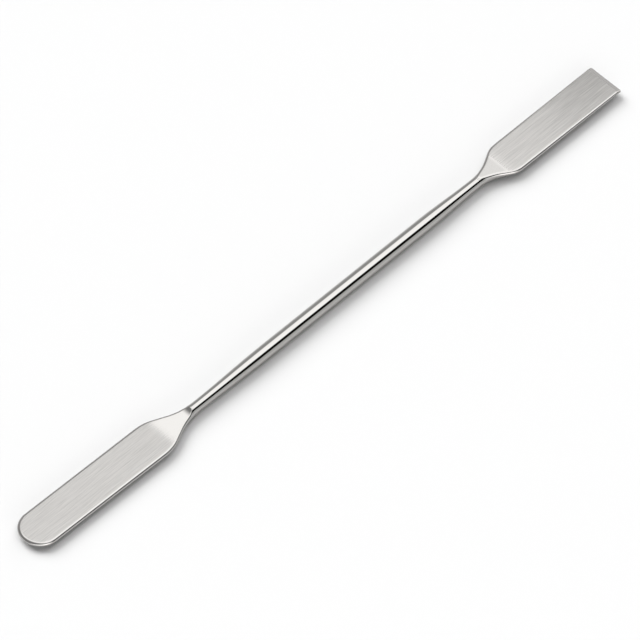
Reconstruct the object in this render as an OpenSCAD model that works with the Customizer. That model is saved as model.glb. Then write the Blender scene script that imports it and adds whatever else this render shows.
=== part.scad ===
// A double-ended laboratory spatula, forged in one piece from a round steel bar.
// The long axis lies along X, with the round blade at -X and the square blade at +X.
// The spatula lies on its rod: Z = 0 is the rod's lowest line, and the rod runs along Y = 0.

/* [Overall] */
// Length from tip to tip
total_l = 200; // [165:1:260]

/* [Rod] */
// Diameter over the thick middle of the rod
rod_d = 3.8; // [3.2:0.1:5]
// Diameter of the thin neck beside each blade
neck_d = 2.9; // [2.4:0.1:3.6]
// Length over which the rod thins towards the round blade
round_taper_l = 24; // [12:1:30]
// Length over which the rod thins towards the square blade
square_taper_l = 18; // [12:1:24]

/* [Round blade] */
// Width of the round blade
round_w = 11.2; // [9:0.1:14]
// Length from the round tip to the shoulders
round_l = 42.5; // [34:0.5:52]
// Thickness of the round blade
round_t = 1.4; // [1.1:0.05:1.8]
// How far the round blade's middle lies below the rod's axis
round_drop = 0.2; // [0:0.05:0.3]
// Angle by which the round blade swings sideways off the rod's line
round_swing = 1; // [-2:0.5:2]

/* [Square blade] */
// Width of the square blade
square_w = 10.4; // [8.5:0.1:13]
// Length from the square end to the shoulders
square_l = 34; // [28:0.5:42]
// Thickness of the square blade at its shoulders
square_t = 1.4; // [1.1:0.05:1.8]
// Thickness of the square blade at its end
square_end_t = 0.9; // [0.75:0.05:1.1]
// Length of the bevel that is ground along the square end
bevel_l = 1.1; // [0.8:0.1:2]
// Depth of that bevel at the end
bevel_depth = 0.35; // [0.2:0.05:0.45]
// Size of the clipped corners of the square end, seen from above
corner_clip = 0.3; // [0.1:0.05:0.6]

/* [Shoulders] */
// Radius of the hollow curve from the neck out to the round blade
round_hollow_r = 18; // [12:1:24]
// Radius of the round blade's shoulders
round_shoulder_r = 12; // [8:1:16]
// Slope of the edge between those two curves, in degrees
round_slope = 25; // [20:1:32]
// Radius of the hollow curve from the neck out to the square blade
square_hollow_r = 13; // [9:1:18]
// Radius of the square blade's shoulders
square_shoulder_r = 6.3; // [4:0.1:9]
// Slope of the edge between those two curves, in degrees
square_slope = 30; // [24:1:36]

/* [Pressed ramps] */
// Length of the round blade's ramp, up to its steep end
round_ramp_l = 7.4; // [6:0.1:9]
// How far that steep end starts before the place where the neck has grown as thick as the rod
round_lift_lead = 0.5; // [0:0.1:0.8]
// Slope of the round blade's ramp, in degrees
round_ramp_slope = 2.2; // [1:0.1:3]
// Radius of the hollow steep end that lifts the round blade's ramp to the rod
round_lift_r = 5; // [3.5:0.5:6.5]
// Slope at which that steep end leaves the rod, in degrees
round_lift_slope = 32; // [28:1:40]
// Distance from the square blade's shoulders to the foot of its ramp
square_ramp_gap = 2.5; // [1:0.1:4]
// Slope of the square blade's ramp, in degrees
square_ramp_slope = 6.5; // [5:0.5:9]

/* [Edges] */
// Width of the broken edges round both blades
edge_c = 0.25; // [0.1:0.05:0.4]

/* [Hidden] */
$fn = 72;

neck_r = neck_d / 2;
rod_r = rod_d / 2;
// Radius of the curve at the foot of each ramp
ramp_foot_r = 15;
// Reach of the cutting bodies beyond the steel
reach = 10;
// How far the ball in the round neck stands proud, and the gap that it bridges on each side
ball_proud = 0.03;
ball_gap = 0.1;
// Radius of the round tip, a hair over half the blade's width
round_tip_r = round_w / 2 + 0.02;
// Numbers of steps along a shoulder's edge, a ramp's steep end and a tapering stretch of rod
edge_steps = 18;
lift_steps = 8;
taper_steps = 10;
// Numbers of steps along the curves at the feet of the round and the square blade's ramps
round_foot_steps = 3;
square_foot_steps = 6;
// Length of even neck between the rod's taper and the ball in the round neck
even_neck_l = 1;
// Length over which the cuts along the blades' edges run clear of the rod
breaker_exit_l = 1;

// An edge that runs from the neck out to a blade: [rise, hollow radius, shoulder radius, slope]
round_edge = [round_w / 2 - neck_r, round_hollow_r, round_shoulder_r, round_slope];
square_edge = [square_w / 2 - neck_r, square_hollow_r, square_shoulder_r, square_slope];

// Distances from each tip to its neck
round_neck_at = round_l + edge_run(round_edge);
square_neck_at = square_l + edge_run(square_edge);
// Place of the round neck, where the blade swings off the rod's line
round_neck_x = round_neck_at - total_l / 2;

// How far an arc of radius r has left its tangent after a run d
function sag(r, d) = r - sqrt(r * r - d * d);

// Slope of an edge, kept low enough for its two curves to fit its rise
function edge_slope(e) = min(e[3], acos(1 - e[0] / (e[1] + e[2])));

// Run of the straight stretch between an edge's two curves
function edge_straight(e) =
    let (s = edge_slope(e))
    (e[0] - (e[1] + e[2]) * (1 - cos(s))) / tan(s);

// Run of a whole edge along the spatula
function edge_run(e) = (e[1] + e[2]) * sin(edge_slope(e)) + edge_straight(e);

// Rise of an edge at a distance d from the neck
function edge_rise(e, d) =
    let (
        s = edge_slope(e),
        hollow = e[1] * sin(s),
        straight = edge_straight(e)
    )
    d <= 0 ? 0
    : d <= hollow ? sag(e[1], d)
    : d <= hollow + straight ? e[1] * (1 - cos(s)) + (d - hollow) * tan(s)
    : d < edge_run(e) ? e[0] - sag(e[2], edge_run(e) - d)
    : e[0];

// Run over which an edge's hollow curve gains a given rise
function edge_reach(e, rise) = sqrt(max(rise, 0) * (2 * e[1] - rise));

// Rise of a ramp's first stretch at a distance d from its foot: a curve, then a plain slope
function ramp_rise(slope, d) =
    let (foot = ramp_foot_r * sin(slope))
    d <= 0 ? 0
    : d <= foot ? sag(ramp_foot_r, d)
    : ramp_foot_r * (1 - cos(slope)) + (d - foot) * tan(slope);

// Distances from each tip to the steep end of the round ramp, which meets the neck where that is
// thinner than the rod, and to the feet of both ramps
round_lift_at = round_neck_at - edge_reach(round_edge, rod_r - neck_r) - round_lift_lead;
round_foot_at = round_lift_at - round_ramp_l;
square_foot_at = square_l + square_ramp_gap;

// Half thickness of the round blade and its ramp, at a distance u from the tip
function round_half_t(u) = round_t / 2 + ramp_rise(round_ramp_slope, u - round_foot_at);

// Half thickness of the square blade and its ramp, at a distance u from the end
function square_half_t(u) =
    let (taper = min(u / square_l, 1))
    (square_end_t + (square_t - square_end_t) * taper) / 2
    + ramp_rise(square_ramp_slope, u - square_foot_at);

// Half widths of the two ends, at a distance u from their tips
function round_half_w(u) = neck_r + edge_rise(round_edge, round_neck_at - u);
function square_half_w(u) = neck_r + edge_rise(square_edge, square_neck_at - u);

// Radius of the rod a fraction f of the way from a neck to the thick middle
function rod_swell(f) = neck_r + (rod_r - neck_r) * (1 - cos(180 * f)) / 2;

// n + 1 evenly spaced values from a to b
function steps(a, b, n) = [for (i = [0:n]) a + (b - a) * i / n];

// Upper half of an outline, and the same with its mirror image below
function closed(top) = concat(top, [for (i = [len(top) - 1:-1:0]) [top[i][0], -top[i][1]]]);

// A body turned about the X axis from [radius, distance along X] points
module turned(points) {
    rotate([0, 90, 0]) rotate_extrude() polygon(points);
}

// A plate with the given outline in X and Z, as wide as the spatula needs
module slab(outline, width) {
    rotate([90, 0, 0]) linear_extrude(height = width + reach, center = true) polygon(outline);
}

// Two crossed slabs that break the long edges of a blade at 45 degrees
module edge_breaker(outline, width) {
    for (side = [-1, 1]) rotate([side * 45, 0, 0]) slab(outline, width);
}

// Outline of an edge breaker: half thickness plus half width less the broken corner
function breaker_outline(half_sums) =
    closed([for (p = half_sums) [p[0], (p[1] - edge_c) / sqrt(2)]]);

// Top line of the round blade's slab, from u to the neck, with the steep end of its ramp
function round_top(u) =
    let (
        foot_end = round_foot_at + ramp_foot_r * sin(round_ramp_slope),
        centre_u = round_lift_at - round_lift_r * sin(round_ramp_slope),
        centre_z = round_half_t(round_lift_at) + round_lift_r * cos(round_ramp_slope),
        lift_u = centre_u + round_lift_r * sin(round_lift_slope),
        clear_z = centre_z - round_lift_r * cos(round_lift_slope) + rod_r
    )
    concat(
        [[u, round_half_t(u)]],
        [for (x = steps(round_foot_at, foot_end, round_foot_steps)) [x, round_half_t(x)]],
        [for (a = steps(round_ramp_slope, round_lift_slope, lift_steps))
            [centre_u + round_lift_r * sin(a), centre_z - round_lift_r * cos(a)]],
        [[lift_u + rod_r / tan(round_lift_slope), clear_z], [round_neck_at + reach, clear_z]]
    );

// Limits of the round blade: its semicircular tip with broken edges, then open space
module round_tip_limits() {
    upright = (round_t - 2 * edge_c) / 2;
    size = 2 * total_l;
    translate([round_tip_r, 0, 0]) {
        rotate_extrude() polygon([
            [0, -round_tip_r - upright],
            [round_tip_r, -upright],
            [round_tip_r, upright],
            [0, round_tip_r + upright]
        ]);
        translate([size / 2, 0, 0]) cube(size, center = true);
    }
}

// The round blade and its neck, in their own distance u from the tip
module round_blade() {
    neck_end = round_neck_at - ball_gap;
    edge = steps(round_l, neck_end, edge_steps);
    intersection() {
        translate([0, 0, round_drop])
            turned(concat(
                [[0, -reach], [round_w / 2, -reach]],
                [for (u = edge) [round_half_w(u), u]],
                [[0, neck_end]]
            ));
        slab(closed(round_top(-reach)), round_w);
        edge_breaker(breaker_outline(concat(
            [[-reach, (round_w + round_t) / 2]],
            [for (u = edge) [u, round_half_w(u) + min(round_half_t(u), round_half_w(u))]],
            [[round_neck_at + reach, 2 * neck_r]]
        )), round_w);
        round_tip_limits();
    }
}

// The round end of the spatula, swung about the neck
module round_end() {
    translate([round_neck_x, 0, -round_drop])
        rotate([0, 0, -round_swing])
            translate([-round_neck_at, 0, 0])
                round_blade();
}

// The ball of steel in the neck, about which the round blade swings
module neck_ball() {
    translate([round_neck_x, 0, 0]) rotate([0, 90, 0]) sphere(r = neck_r + ball_proud);
}

// Top line of the square blade's slab, from the bevelled end to clear of the rod
function square_top() =
    let (
        slope_end = square_foot_at + ramp_foot_r * sin(square_ramp_slope),
        clear_at = slope_end + rod_d / tan(square_ramp_slope)
    )
    concat(
        [for (u = [bevel_l, square_l]) [u, square_half_t(u)]],
        [for (u = steps(square_foot_at, slope_end, square_foot_steps)) [u, square_half_t(u)]],
        [[clear_at, square_half_t(clear_at)], [total_l, square_half_t(clear_at)]]
    );

// Limits of the square end seen from above, with its clipped corners
module clipped_corners() {
    half = square_w / 2;
    linear_extrude(height = reach, center = true)
        polygon(closed([
            [0, half - corner_clip],
            [corner_clip + reach, half + reach],
            [total_l, half + reach]
        ]));
}

// The rod and the square blade, in their own distance u from the square end
module rod_and_square_blade() {
    rod_end = total_l - round_neck_at - ball_gap;
    edge = steps(square_l, square_neck_at, edge_steps);
    round_swell_at = total_l - round_neck_at - round_taper_l;
    end_half_t = square_half_t(0);
    intersection() {
        turned(concat(
            [[0, 0], [square_w / 2, 0]],
            [for (u = edge) [square_half_w(u), u]],
            [for (f = steps(1 / taper_steps, 1, taper_steps - 1))
                [rod_swell(f), square_neck_at + f * square_taper_l]],
            [for (f = steps(0, 1, taper_steps))
                [rod_swell(1 - f), round_swell_at + f * (round_taper_l - even_neck_l)]],
            [[neck_r, rod_end], [0, rod_end]]
        ));
        slab(concat(
            [[0, end_half_t - bevel_depth]],
            square_top(),
            [for (i = [len(square_top()) - 1:-1:0]) [square_top()[i][0], -square_top()[i][1]]],
            [[0, -end_half_t]]
        ), square_w);
        edge_breaker(breaker_outline(concat(
            [[0, square_w / 2 + end_half_t]],
            [for (u = edge) [u, square_half_w(u) + min(square_half_t(u), square_half_w(u))]],
            [[square_neck_at + breaker_exit_l, 2 * rod_d], [total_l, 2 * rod_d]]
        )), square_w);
        clipped_corners();
    }
}

// The square end and the rod
module square_end() {
    translate([total_l / 2, 0, 0]) mirror([1, 0, 0]) rod_and_square_blade();
}

// The whole spatula, lying on its rod
module spatula() {
    color("silver")
        translate([0, 0, rod_r]) {
            square_end();
            neck_ball();
            round_end();
        }
}

spatula();
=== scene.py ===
"""Looks of the laboratory spatula: polished and brushed steel on a white table, in a soft studio."""

import math

import bmesh
import bpy
from mathutils import Matrix, Vector


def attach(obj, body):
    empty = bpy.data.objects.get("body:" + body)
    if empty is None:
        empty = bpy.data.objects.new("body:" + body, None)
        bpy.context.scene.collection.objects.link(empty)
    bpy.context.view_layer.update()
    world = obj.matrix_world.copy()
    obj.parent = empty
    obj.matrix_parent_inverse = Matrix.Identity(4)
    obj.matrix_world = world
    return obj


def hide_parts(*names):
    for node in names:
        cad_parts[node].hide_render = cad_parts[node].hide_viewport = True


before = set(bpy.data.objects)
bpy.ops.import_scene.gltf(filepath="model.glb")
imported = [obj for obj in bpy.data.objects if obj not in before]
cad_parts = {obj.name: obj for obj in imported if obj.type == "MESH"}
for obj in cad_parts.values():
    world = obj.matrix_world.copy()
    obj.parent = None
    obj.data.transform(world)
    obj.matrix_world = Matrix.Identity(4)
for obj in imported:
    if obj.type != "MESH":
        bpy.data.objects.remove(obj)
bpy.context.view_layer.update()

MM = 0.001

# Sizes of the spatula in millimetres, after its CAD solid
TOTAL_L = 200
ROD_R = 1.9
NECK_R = 1.45
ROUND_TAPER_L = 24
SQUARE_TAPER_L = 18
ROUND_HALF_W = 5.6
ROUND_L = 42.5
ROUND_HALF_T = 0.7
ROUND_DROP = 0.2
ROUND_SWING = math.radians(1)
SQUARE_HALF_W = 5.2
SQUARE_L = 34
SQUARE_HALF_T = 0.7
SQUARE_END_HALF_T = 0.45
BEVEL_L = 1.1
BEVEL_DEPTH = 0.35
CORNER_R = 0.3
RAMP_FOOT_R = 15
ROUND_RAMP_L = 7.4
ROUND_RAMP_SLOPE = math.radians(2.2)
ROUND_LIFT_GAP = 4.5
ROUND_LIFT_R = 5
ROUND_LIFT_SLOPE = math.radians(32)
SQUARE_RAMP_GAP = 2.5
SQUARE_RAMP_SLOPE = math.radians(6.5)

# The worn edges round both blades: a gentle roll down from the flat, then a tight round
ROLL_R = 0.98
ROLL_TURN = math.radians(26)
EDGE_R = 0.68
# Radius of the plainly rounded edges beside the ramps, and the length past each blade over which
# a rolled edge turns into such an edge
RAMP_EDGE_R = 0.75
RAMP_EDGE_L = 5
# Radius of the crisper edges of the square end
END_EDGE_R = 0.06
# Softness of the creases where a cut meets the round neck, and where the bevel meets the blade
NECK_CREASE = 0.12
BEVEL_CREASE = 0.02
# Length over which the neck bends to the round blade's swing
BEND_L = 6
# Steps round a quarter of every section, and round the round tip
QUARTER_STEPS = 20
TIP_STEPS = 48
# Spacing of the rings in millimetres: along the even blades, the round shoulders up to the ramp's steep
# end, that steep end, the last of the round shoulders and all of the square ones, the bend, the tapers
# and the even rod
BLADE_SPACING = 1.2
RAMP_SPACING = 0.25
LIFT_SPACING = 0.05
NECK_SPACING = 0.2
BEND_SPACING = 0.4
TAPER_SPACING = 0.8
ROD_SPACING = 2.5
# How far the close rings of the steep end reach before and after its start
LIFT_BEFORE = 0.3
LIFT_AFTER = 3
# Rings of the square end: steps round its edge, the gap behind that edge, the spacing over its corners,
# its bevel and the crease behind the bevel, and how far that crease reaches each way
END_EDGE_STEPS = 4
END_EDGE_GAP = 0.04
CORNER_SPACING = 0.06
BEVEL_SPACING = 0.3
CREASE_SPACING = 0.02
CREASE_REACH = 0.1
# The square shoulders' rings are spaced as if they ended this far past the neck
NECK_OVERRUN = 0.01


class Shoulder:
    """Edge line from the neck out to a blade: a hollow curve, a straight slope and a rounded shoulder."""

    def __init__(self, half_w, hollow_r, shoulder_r, slope):
        self.rise = half_w - NECK_R
        self.hollow_r = hollow_r
        self.shoulder_r = shoulder_r
        self.slope = slope
        curves = (hollow_r + shoulder_r) * (1 - math.cos(slope))
        self.straight = (self.rise - curves) / math.tan(slope)
        self.run = (hollow_r + shoulder_r) * math.sin(slope) + self.straight

    def half_w(self, d):
        """Half width of the spatula at a distance d from the neck."""
        hollow = self.hollow_r * math.sin(self.slope)
        if d <= 0:
            return NECK_R
        if d <= hollow:
            return NECK_R + sag(self.hollow_r, d)
        if d <= hollow + self.straight:
            climbed = self.hollow_r * (1 - math.cos(self.slope))
            return NECK_R + climbed + (d - hollow) * math.tan(self.slope)
        return NECK_R + self.rise - sag(self.shoulder_r, max(self.run - d, 0))


def sag(r, d):
    """How far an arc of radius r has left its tangent after a run d."""
    return r - math.sqrt(r * r - d * d)


def smooth_step(a, b, x):
    """0 before a, 1 after b and a smooth rise between them."""
    f = min(max((x - a) / (b - a), 0), 1)
    return f * f * (3 - 2 * f)


def soft_min(a, b, softness):
    """The lower of two heights, with the crease between them rounded off."""
    overlap = max(softness - abs(a - b), 0) / softness
    return min(a, b) - overlap * overlap * softness / 4


ROUND_SHOULDER = Shoulder(ROUND_HALF_W, 18, 12, math.radians(25))
SQUARE_SHOULDER = Shoulder(SQUARE_HALF_W, 13, 6.3, math.radians(30))

# Places along the spatula, measured from the tip of its own end
ROUND_NECK_AT = ROUND_L + ROUND_SHOULDER.run
SQUARE_NECK_AT = SQUARE_L + SQUARE_SHOULDER.run
ROUND_LIFT_AT = ROUND_NECK_AT - ROUND_LIFT_GAP
ROUND_FOOT_AT = ROUND_LIFT_AT - ROUND_RAMP_L
SQUARE_FOOT_AT = SQUARE_L + SQUARE_RAMP_GAP
ROUND_NECK_X = ROUND_NECK_AT - TOTAL_L / 2
SQUARE_NECK_X = TOTAL_L / 2 - SQUARE_NECK_AT


def ramp_rise(slope, d):
    """Rise of a ramp at a distance d from its foot: a curve, then a plain slope."""
    foot = RAMP_FOOT_R * math.sin(slope)
    if d <= 0:
        return 0
    if d <= foot:
        return sag(RAMP_FOOT_R, d)
    return RAMP_FOOT_R * (1 - math.cos(slope)) + (d - foot) * math.tan(slope)


def lift_rise(u):
    """Half thickness of the round end at u from its tip, with the steep end of its ramp."""
    plain = ROUND_HALF_T + ramp_rise(ROUND_RAMP_SLOPE, u - ROUND_FOOT_AT)
    centre_u = ROUND_LIFT_AT - ROUND_LIFT_R * math.sin(ROUND_RAMP_SLOPE)
    end_u = centre_u + ROUND_LIFT_R * math.sin(ROUND_LIFT_SLOPE)
    if u <= ROUND_LIFT_AT:
        return plain
    start = ROUND_HALF_T + ramp_rise(ROUND_RAMP_SLOPE, ROUND_RAMP_L)
    centre_z = start + ROUND_LIFT_R * math.cos(ROUND_RAMP_SLOPE)
    if u <= end_u:
        return centre_z - math.sqrt(ROUND_LIFT_R**2 - (u - centre_u) ** 2)
    end_z = centre_z - ROUND_LIFT_R * math.cos(ROUND_LIFT_SLOPE)
    return end_z + (u - end_u) * math.tan(ROUND_LIFT_SLOPE)


def edge_kind(d):
    """Kind of the edge at a distance d past a blade: from 0, rolled, to 1, plainly rounded."""
    return smooth_step(0, RAMP_EDGE_L, d)


def round_section(u):
    """Half width, top and bottom of the round end at u from its tip, measured from the rod's axis."""
    half_w = ROUND_SHOULDER.half_w(ROUND_NECK_AT - u)
    half_t = lift_rise(u)
    top = soft_min(half_t - ROUND_DROP, half_w, NECK_CREASE)
    bottom = soft_min(half_t + ROUND_DROP, half_w, NECK_CREASE)
    return half_w, top, bottom, edge_kind(u - ROUND_L)


def square_section(u):
    """Half width, top and bottom of the square end at u from its end, measured from the rod's axis."""
    half_w = SQUARE_SHOULDER.half_w(SQUARE_NECK_AT - u)
    taper = min(u / SQUARE_L, 1)
    half_t = SQUARE_END_HALF_T + (SQUARE_HALF_T - SQUARE_END_HALF_T) * taper
    half_t += ramp_rise(SQUARE_RAMP_SLOPE, u - SQUARE_FOOT_AT)
    half_t = soft_min(half_t, half_w, NECK_CREASE)
    bevel = SQUARE_END_HALF_T - BEVEL_DEPTH * (1 - u / BEVEL_L)
    inset = 0
    if u < END_EDGE_R:
        inset = sag(END_EDGE_R, END_EDGE_R - u)
    if u < CORNER_R:
        half_w -= sag(CORNER_R, CORNER_R - u)
    top = soft_min(half_t, bevel, BEVEL_CREASE)
    return half_w, top - inset, half_t - inset, edge_kind(u - SQUARE_L)


def rod_section(x):
    """The round section of the rod at a place x along the spatula."""
    from_round = (x - ROUND_NECK_X) / ROUND_TAPER_L
    from_square = (SQUARE_NECK_X - x) / SQUARE_TAPER_L
    f = min(max(min(from_round, from_square), 0), 1)
    r = NECK_R + (ROD_R - NECK_R) * (1 - math.cos(math.pi * f)) / 2
    return r, r, r, 1


def quarter(half_w, height, edge):
    """Points of a quarter of a section as (across, up), from its middle out to its side.

    It is a round bar of radius half_w, cut flat at height and with the edge of that cut rolled over.
    The points are spaced half by the length of the outline and half by how far it turns.
    """
    side = math.pi / 2
    spans = []
    if height < half_w:
        r = EDGE_R + (RAMP_EDGE_R - EDGE_R) * edge
        roll_r = ROLL_R + (RAMP_EDGE_R - ROLL_R) * edge
        drop = r + (roll_r - r) * (1 - math.cos(ROLL_TURN))
        size = min(height / drop, 1)
        r *= size
        roll_r *= size
        up = height - drop * size
        centre = math.sqrt((half_w - r) ** 2 - up**2)
        flat = max(centre - (roll_r - r) * math.sin(ROLL_TURN), 0)
        side = math.atan2(up, centre)
        turn = math.pi / 2 - ROLL_TURN - side
        spans.append((flat, 0, lambda f: (f * flat, height)))
        spans.append((
            roll_r * ROLL_TURN, ROLL_TURN,
            lambda f: arc_point(flat, height - roll_r, roll_r, math.pi / 2 - f * ROLL_TURN),
        ))
        spans.append((r * turn, turn, lambda f: arc_point(centre, up, r, side + (1 - f) * turn)))
    spans.append((half_w * side, side, lambda f: arc_point(0, 0, half_w, side * (1 - f))))
    spans = [span for span in spans if span[0] > 0]
    length = sum(span[0] for span in spans)
    points = []
    for i in range(QUARTER_STEPS + 1):
        wanted = i / QUARTER_STEPS
        for span_l, turn, place in spans:
            share = span_l / length / 2 + turn / math.pi
            if wanted < share or place is spans[-1][2]:
                break
            wanted -= share
        points.append(place(min(wanted / share, 1)))
    return points


def arc_point(centre_y, centre_z, r, angle):
    """A point on an arc, at an angle above the horizontal."""
    return centre_y + r * math.cos(angle), centre_z + r * math.sin(angle)


def half_section(half_w, top, bottom, edge):
    """The right half of a section as (across, up), from its top down to its bottom."""
    middle = (top - bottom) / 2
    corner = quarter(half_w, (top + bottom) / 2, edge)
    return [(y, middle + z) for y, z in corner] + [(y, middle - z) for y, z in reversed(corner[:-1])]


def spine(x):
    """Sideways place and heading of the spatula's middle line at x: it bends at the round neck."""
    past = ROUND_NECK_X + BEND_L / 2 - x
    slope = math.tan(ROUND_SWING)
    if past <= 0:
        return 0, 0
    if past >= BEND_L:
        return slope * (past - BEND_L / 2), ROUND_SWING
    return slope * past * past / (2 * BEND_L), ROUND_SWING * past / BEND_L


def stations(a, b, spacing):
    """Evenly spaced places from a up to b, without b."""
    count = math.ceil((b - a) / spacing)
    return [a + (b - a) * i / count for i in range(count)]


def ring_sections():
    """(x, section) of every ring of the mesh, from the middle of the round tip to the square end."""
    half = TOTAL_L / 2
    lift_start = ROUND_LIFT_AT - LIFT_BEFORE
    lift_end = ROUND_LIFT_AT + LIFT_AFTER
    round_u = stations(ROUND_HALF_W, ROUND_L, BLADE_SPACING)
    round_u += stations(ROUND_L, lift_start, RAMP_SPACING)
    round_u += stations(lift_start, lift_end, LIFT_SPACING)
    round_u += stations(lift_end, ROUND_NECK_AT, NECK_SPACING)
    round_thick = ROUND_NECK_X + ROUND_TAPER_L
    square_thick = SQUARE_NECK_X - SQUARE_TAPER_L
    rod_x = stations(ROUND_NECK_X, ROUND_NECK_X + BEND_L, BEND_SPACING)
    rod_x += stations(ROUND_NECK_X + BEND_L, round_thick, TAPER_SPACING)
    rod_x += stations(round_thick, square_thick, ROD_SPACING)
    rod_x += stations(square_thick, SQUARE_NECK_X, TAPER_SPACING)
    edge_step = math.pi / 2 / END_EDGE_STEPS
    square_u = [END_EDGE_R * (1 - math.cos(edge_step * i)) for i in range(END_EDGE_STEPS + 1)]
    square_u += stations(END_EDGE_R + END_EDGE_GAP, CORNER_R, CORNER_SPACING)
    square_u += stations(CORNER_R, BEVEL_L - CREASE_REACH, BEVEL_SPACING)
    square_u += stations(BEVEL_L - CREASE_REACH, BEVEL_L + CREASE_REACH, CREASE_SPACING)
    square_u += stations(BEVEL_L + CREASE_REACH, SQUARE_L, BLADE_SPACING)
    square_u += stations(SQUARE_L, SQUARE_NECK_AT + NECK_OVERRUN, NECK_SPACING)
    return (
        [(u - half, round_section(u)) for u in round_u]
        + [(x, rod_section(x)) for x in rod_x]
        + [(half - u, square_section(u)) for u in reversed(square_u)]
    )


def spatula_mesh():
    """The spatula as one closed mesh: rings of its sections, a swept round tip and a flat square end."""
    vertices = []
    faces = []
    sections = ring_sections()
    bottom = 2 * QUARTER_STEPS

    def add_vertex(x, y, z):
        vertices.append((x * MM, y * MM, (z + ROD_R) * MM))
        return len(vertices) - 1

    def add_face(*corners):
        faces.append(list(dict.fromkeys(corners)))

    def add_ring(x, section):
        """A ring: its right half from top to bottom, then its left half back up to the top."""
        side, heading = spine(x)
        half = half_section(*section)
        points = half + [(-y, z) for y, z in reversed(half[1:-1])]
        return [add_vertex(x + y * math.sin(heading), side + y * math.cos(heading), z) for y, z in points]

    def right_half(ring):
        return ring[: bottom + 1]

    def left_half(ring):
        return ring[:1] + ring[: bottom - 1 : -1]

    def join(row, other):
        """Faces between two rows of vertices."""
        for a, b, c, d in zip(row, row[1:], other[1:], other):
            add_face(a, b, c, d)

    rings = [add_ring(x, section) for x, section in sections]
    for ring, other in zip(rings, rings[1:]):
        join(ring + ring[:1], other + other[:1])

    first_x, first_section = sections[0]
    side, heading = spine(first_x)
    row = right_half(rings[0])
    for step in range(1, TIP_STEPS):
        angle = math.pi * step / TIP_STEPS - heading
        swept = [
            add_vertex(first_x - y * math.sin(angle), side + y * math.cos(angle), z)
            for y, z in half_section(*first_section)[1:-1]
        ]
        swept = [rings[0][0]] + swept + [rings[0][bottom]]
        join(swept, row)
        row = swept
    join(left_half(rings[0]), row)

    for half in (right_half(rings[-1]), left_half(rings[-1])):
        join(half[: QUARTER_STEPS + 1], half[: QUARTER_STEPS - 1 : -1])

    mesh = bpy.data.meshes.new("spatula_steel")
    mesh.from_pydata(vertices, [], faces)
    shape = bmesh.new()
    shape.from_mesh(mesh)
    bmesh.ops.recalc_face_normals(shape, faces=shape.faces)
    shape.to_mesh(mesh)
    shape.free()
    mesh.shade_smooth()
    return mesh


def add_node(tree, kind, **settings):
    """A shader node with some of its settings made."""
    made = tree.nodes.new(kind)
    for name, value in settings.items():
        setattr(made, name, value)
    return made


def math_node(tree, operation, *inputs):
    """A Math node whose inputs are links or plain numbers. Returns its output."""
    made = add_node(tree, "ShaderNodeMath", operation=operation)
    for socket, value in zip(made.inputs, inputs):
        if isinstance(value, (int, float)):
            socket.default_value = value
        else:
            tree.links.new(value, socket)
    return made.outputs[0]


def map_range(tree, value, from_min, from_max, to_min=0.0, to_max=1.0, smooth=True):
    """A Map Range node. Returns its output."""
    made = add_node(tree, "ShaderNodeMapRange", interpolation_type="SMOOTHSTEP" if smooth else "LINEAR")
    tree.links.new(value, made.inputs["Value"])
    made.inputs["From Min"].default_value = from_min
    made.inputs["From Max"].default_value = from_max
    made.inputs["To Min"].default_value = to_min
    made.inputs["To Max"].default_value = to_max
    return made.outputs["Result"]


def mix_value(tree, factor, a, b):
    """Linear mix of two numbers by a factor. Returns its output."""
    share_b = math_node(tree, "MULTIPLY", factor, b)
    share_a = math_node(tree, "MULTIPLY", math_node(tree, "SUBTRACT", 1.0, factor), a)
    return math_node(tree, "ADD", share_b, share_a)


def streaks(tree, coordinates, along, across, turn):
    """Noise drawn out along X into brush strokes, turned a little about Z. Returns its value."""
    mapping = add_node(tree, "ShaderNodeMapping")
    tree.links.new(coordinates, mapping.inputs["Vector"])
    mapping.inputs["Rotation"].default_value = (0, 0, turn)
    mapping.inputs["Scale"].default_value = (along, across, across)
    noise = add_node(tree, "ShaderNodeTexNoise")
    tree.links.new(mapping.outputs["Vector"], noise.inputs["Vector"])
    noise.inputs["Scale"].default_value = 1.0
    noise.inputs["Detail"].default_value = STREAK_DETAIL
    return noise.outputs["Fac"]


STEEL_COLOR = (0.56, 0.548, 0.532)
POLISHED_ROUGHNESS = 0.08
BRUSHED_ROUGHNESS = 0.38
# How much the highlights are drawn out, and the turn of that as a share of a full one
ANISOTROPY = 0.5
ANISOTROPY_TURN = 0.25
# How level a face has to be before the brushing starts, and where it is full, as its normal's Z
FLAT_FROM = 0.997
FLAT_FULL = 0.9992
# Millimetres from each ramp's foot, up the ramp and out on the blade, over which the brushing comes in
ROUND_BRUSH_ON_RAMP = 2.5
ROUND_BRUSH_ON_BLADE = 1.5
SQUARE_BRUSH_ON_RAMP = 5
SQUARE_BRUSH_ON_BLADE = 2
# Coarse and fine streaks: noise cells per metre along and across the spatula, and their turn
COARSE_STREAKS = (110, 4600, math.radians(2))
FINE_STREAKS = (200, 9000, math.radians(-1))
STREAK_DETAIL = 2.0
# Share of each kind in the grain, and the grain's middle value
STREAK_SHARE = 0.5
GRAIN_MIDDLE = 0.5
# How much the grain changes the colour and the roughness, and the depth of its relief in millimetres
STREAK_CONTRAST = 1.3
STREAK_ROUGHNESS = 0.5
STREAK_DEPTH = 0.012


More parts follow.
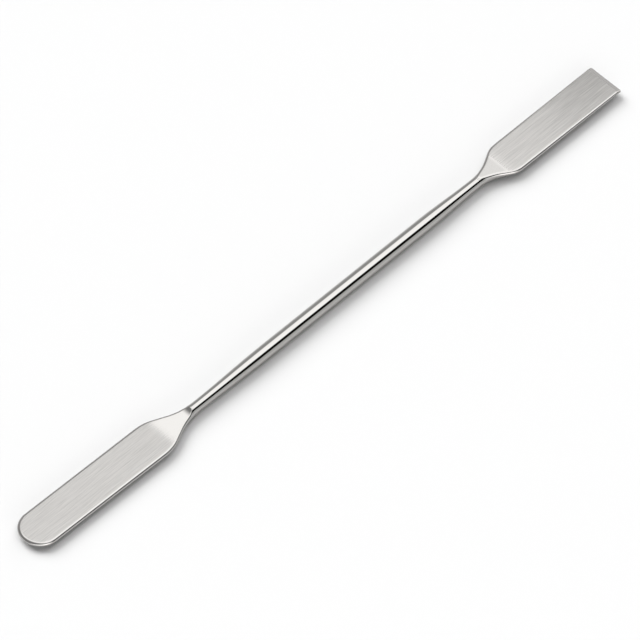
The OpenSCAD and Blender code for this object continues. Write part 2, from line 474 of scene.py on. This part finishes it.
def steel():
    """Stainless steel: polished on the rod and the edges, brushed on the flats and fading up the ramps."""
    material = bpy.data.materials.new("steel")
    material.use_nodes = True
    tree = material.node_tree
    shader = tree.nodes["Principled BSDF"]
    shader.inputs["Metallic"].default_value = 1.0
    shader.inputs["Anisotropic"].default_value = ANISOTROPY
    shader.inputs["Anisotropic Rotation"].default_value = ANISOTROPY_TURN
    tangent = add_node(tree, "ShaderNodeTangent", direction_type="RADIAL", axis="X")
    tree.links.new(tangent.outputs["Tangent"], shader.inputs["Tangent"])

    coordinates = add_node(tree, "ShaderNodeTexCoord").outputs["Object"]
    place = add_node(tree, "ShaderNodeSeparateXYZ")
    tree.links.new(coordinates, place.inputs["Vector"])
    x = place.outputs["X"]
    facing = add_node(tree, "ShaderNodeSeparateXYZ")
    tree.links.new(add_node(tree, "ShaderNodeNewGeometry").outputs["Normal"], facing.inputs["Vector"])
    flat = map_range(tree, math_node(tree, "ABSOLUTE", facing.outputs["Z"]), FLAT_FROM, FLAT_FULL)

    round_crease = (ROUND_FOOT_AT - TOTAL_L / 2) * MM
    square_crease = (TOTAL_L / 2 - SQUARE_FOOT_AT) * MM
    round_start = round_crease + ROUND_BRUSH_ON_RAMP * MM
    round_full = round_crease - ROUND_BRUSH_ON_BLADE * MM
    on_round = map_range(tree, x, round_start, round_full)
    square_start = square_crease - SQUARE_BRUSH_ON_RAMP * MM
    square_full = square_crease + SQUARE_BRUSH_ON_BLADE * MM
    on_square = map_range(tree, x, square_start, square_full)
    brushed = math_node(tree, "MULTIPLY", flat, math_node(tree, "ADD", on_round, on_square))

    coarse = math_node(tree, "MULTIPLY", streaks(tree, coordinates, *COARSE_STREAKS), STREAK_SHARE)
    fine = math_node(tree, "MULTIPLY", streaks(tree, coordinates, *FINE_STREAKS), STREAK_SHARE)
    grain = math_node(tree, "ADD", coarse, fine)
    off_middle = math_node(tree, "SUBTRACT", grain, GRAIN_MIDDLE)
    rough = mix_value(tree, brushed, POLISHED_ROUGHNESS, BRUSHED_ROUGHNESS)
    varied = math_node(tree, "MULTIPLY", off_middle, math_node(tree, "MULTIPLY", brushed, STREAK_ROUGHNESS))
    tree.links.new(math_node(tree, "ADD", rough, varied), shader.inputs["Roughness"])

    shade = math_node(tree, "MULTIPLY", off_middle, brushed)
    tint = add_node(tree, "ShaderNodeVectorMath", operation="SCALE")
    tint.inputs[0].default_value = STEEL_COLOR
    tree.links.new(math_node(tree, "MULTIPLY_ADD", shade, STREAK_CONTRAST, 1.0), tint.inputs["Scale"])
    tree.links.new(tint.outputs["Vector"], shader.inputs["Base Color"])
    bump = add_node(tree, "ShaderNodeBump")
    bump.inputs["Distance"].default_value = STREAK_DEPTH * MM
    tree.links.new(math_node(tree, "MULTIPLY", grain, brushed), bump.inputs["Height"])
    tree.links.new(bump.outputs["Normal"], shader.inputs["Normal"])
    return material


def spatula():
    """The steel spatula, which stands for the plain CAD solid."""
    piece = bpy.data.objects.new("steel_spatula", spatula_mesh())
    bpy.context.scene.collection.objects.link(piece)
    piece.data.materials.append(steel())
    weighted = piece.modifiers.new("even_shading", "WEIGHTED_NORMAL")
    weighted.keep_sharp = False
    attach(piece, "root")
    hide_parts("spatula")


def emission(tree, strength):
    """A white emission shader whose strength is a link."""
    light = add_node(tree, "ShaderNodeEmission")
    tree.links.new(strength, light.inputs["Strength"])
    return light.outputs["Emission"]


# Brightness of the studio round the spatula by angle from straight up, in degrees, towards its -Y side
STUDIO_BANDS = [
    (-90, 0.42), (-40, 0.46), (-30, 1.6), (24, 1.65), (28, 0.01), (61, 0.01), (66, 0.62), (90, 0.62),
]
# Brightness of the plain walls on the -X side before and after they turn bright, and the angles from
# straight up towards -Y, in radians, between which they do
PLAIN_BACK = 0.3
PLAIN_FRONT = 2.5
PLAIN_TURN_FROM = 0.8
PLAIN_TURN_TO = 1.2
# X of the direction at which the plain walls begin to show, and from which they are all that shows
PLAIN_X_FROM = 0.22
PLAIN_X_TO = -0.32
# Brightness of the backdrop that the camera sees in place of the studio
BACKDROP = 0.99


def studio():
    """A long softbox overhead, a black flag beside it and pale walls, with a white backdrop in view."""
    world = bpy.data.worlds.new("studio")
    bpy.context.scene.world = world
    world.use_nodes = True
    tree = world.node_tree
    tree.nodes.clear()
    direction = add_node(tree, "ShaderNodeSeparateXYZ")
    tree.links.new(add_node(tree, "ShaderNodeTexCoord").outputs["Generated"], direction.inputs["Vector"])
    towards = math_node(tree, "MULTIPLY", direction.outputs["Y"], -1.0)
    angle = math_node(tree, "ARCTAN2", towards, direction.outputs["Z"])
    bands = add_node(tree, "ShaderNodeValToRGB")
    tree.links.new(map_range(tree, angle, -math.pi / 2, math.pi / 2, smooth=False), bands.inputs["Fac"])
    ramp = bands.color_ramp
    highest = max(level for _, level in STUDIO_BANDS)
    while len(ramp.elements) < len(STUDIO_BANDS):
        ramp.elements.new(0.5)
    for element, (degrees, level) in zip(ramp.elements, STUDIO_BANDS):
        element.position = (degrees + 90) / 180
        element.color = (level / highest,) * 3 + (1,)
    striped = math_node(tree, "MULTIPLY", bands.outputs["Color"], highest)
    plain = map_range(tree, angle, PLAIN_TURN_FROM, PLAIN_TURN_TO, PLAIN_BACK, PLAIN_FRONT)
    left = map_range(tree, direction.outputs["X"], PLAIN_X_FROM, PLAIN_X_TO)
    lit = emission(tree, mix_value(tree, left, striped, plain))
    backdrop = add_node(tree, "ShaderNodeEmission")
    backdrop.inputs["Strength"].default_value = BACKDROP
    mix = add_node(tree, "ShaderNodeMixShader")
    tree.links.new(add_node(tree, "ShaderNodeLightPath").outputs["Is Camera Ray"], mix.inputs["Fac"])
    tree.links.new(lit, mix.inputs[1])
    tree.links.new(backdrop.outputs["Emission"], mix.inputs[2])
    output = add_node(tree, "ShaderNodeOutputWorld")
    tree.links.new(mix.outputs["Shader"], output.inputs["Surface"])


# Width of the table in metres, and how white it is to the camera and to every other ray
FLOOR_SIZE = 6.0
FLOOR_SEEN = 0.705
FLOOR_MIRRORED = 0.53


def floor():
    """The white table. It is darker to the steel than to the camera, as in an overexposed picture."""
    half = FLOOR_SIZE / 2
    corners = [(-half, -half, 0), (half, -half, 0), (half, half, 0), (-half, half, 0)]
    mesh = bpy.data.meshes.new("table")
    mesh.from_pydata(corners, [], [(0, 1, 2, 3)])
    table = bpy.data.objects.new("table", mesh)
    bpy.context.scene.collection.objects.link(table)
    material = bpy.data.materials.new("table_white")
    material.use_nodes = True
    tree = material.node_tree
    tree.nodes.clear()
    seen = add_node(tree, "ShaderNodeBsdfDiffuse")
    seen.inputs["Color"].default_value = (FLOOR_SEEN,) * 3 + (1,)
    mirrored = add_node(tree, "ShaderNodeBsdfDiffuse")
    mirrored.inputs["Color"].default_value = (FLOOR_MIRRORED,) * 3 + (1,)
    mix = add_node(tree, "ShaderNodeMixShader")
    tree.links.new(add_node(tree, "ShaderNodeLightPath").outputs["Is Camera Ray"], mix.inputs["Fac"])
    tree.links.new(mirrored.outputs["BSDF"], mix.inputs[1])
    tree.links.new(seen.outputs["BSDF"], mix.inputs[2])
    output = add_node(tree, "ShaderNodeOutputMaterial")
    tree.links.new(mix.outputs["Shader"], output.inputs["Surface"])
    mesh.materials.append(material)


# The soft window behind the spatula: its height above the table, how wide it looks and its strength
WINDOW_HEIGHT = math.radians(42)
WINDOW_WIDTH = math.radians(46)
WINDOW_STRENGTH = 3.2


def window():
    """Soft light from the +Y side. It shapes the shadow on the table but is not mirrored in the steel."""
    data = bpy.data.lights.new("window", "SUN")
    data.energy = WINDOW_STRENGTH
    data.angle = WINDOW_WIDTH
    light = bpy.data.objects.new("window", data)
    bpy.context.scene.collection.objects.link(light)
    light.rotation_euler = (WINDOW_HEIGHT - math.pi / 2, 0, 0)
    light.visible_glossy = False


# A level grey card beyond the square end: its near corner, its size and how bright it is
CARD_CORNER = Vector((104, 11, 42)) * MM
CARD_SIZE = Vector((150, 70)) * MM
CARD_LEVEL = 0.75


def card():
    """A grey card that only mirrored rays meet. It darkens the square blade towards its end."""
    x, y, z = CARD_CORNER
    far_x = x + CARD_SIZE.x
    far_y = y + CARD_SIZE.y
    mesh = bpy.data.meshes.new("grey_card")
    mesh.from_pydata([(x, y, z), (far_x, y, z), (far_x, far_y, z), (x, far_y, z)], [], [(0, 1, 2, 3)])
    sheet = bpy.data.objects.new("grey_card", mesh)
    bpy.context.scene.collection.objects.link(sheet)
    material = bpy.data.materials.new("card_grey")
    material.use_nodes = True
    tree = material.node_tree
    tree.nodes.clear()
    light = add_node(tree, "ShaderNodeEmission")
    light.inputs["Strength"].default_value = CARD_LEVEL
    output = add_node(tree, "ShaderNodeOutputMaterial")
    tree.links.new(light.outputs["Emission"], output.inputs["Surface"])
    mesh.materials.append(material)
    sheet.visible_camera = False
    sheet.visible_diffuse = False
    sheet.visible_shadow = False


# The camera looks down at the spatula from its -X, -Y side. It is set in metres, but for its lens and
# sensor, which are in millimetres.
CAMERA_ELEVATION = math.radians(52.35)
CAMERA_TURN = math.radians(45.3)
VIEW_WIDTH = 0.1554
CAMERA_LENS = 1550
CAMERA_SENSOR = 36
CAMERA_CLIP_END = 20
AIM_RIGHT = 0.41 * MM
AIM_DOWN = 2.57 * MM


def camera():
    """A long lens, far enough away to show the whole length of the spatula almost without perspective."""
    right = Vector((math.cos(CAMERA_TURN), -math.sin(CAMERA_TURN), 0))
    away = Vector((math.sin(CAMERA_TURN), math.cos(CAMERA_TURN), 0))
    back = Vector((0, 0, math.sin(CAMERA_ELEVATION))) - away * math.cos(CAMERA_ELEVATION)
    up = back.cross(right)
    distance = VIEW_WIDTH * CAMERA_LENS / CAMERA_SENSOR
    middle = Vector((0, 0, ROD_R * MM)) + right * AIM_RIGHT - up * AIM_DOWN
    data = bpy.data.cameras.new("camera")
    data.lens = CAMERA_LENS
    data.sensor_width = CAMERA_SENSOR
    data.clip_end = CAMERA_CLIP_END
    shot = bpy.data.objects.new("camera", data)
    bpy.context.scene.collection.objects.link(shot)
    turn = Matrix((right, up, back)).transposed().to_4x4()
    shot.matrix_world = Matrix.Translation(middle + back * distance) @ turn
    bpy.context.scene.camera = shot


spatula()
floor()
studio()
window()
card()
camera()
bpy.context.scene.view_settings.view_transform = "Standard"
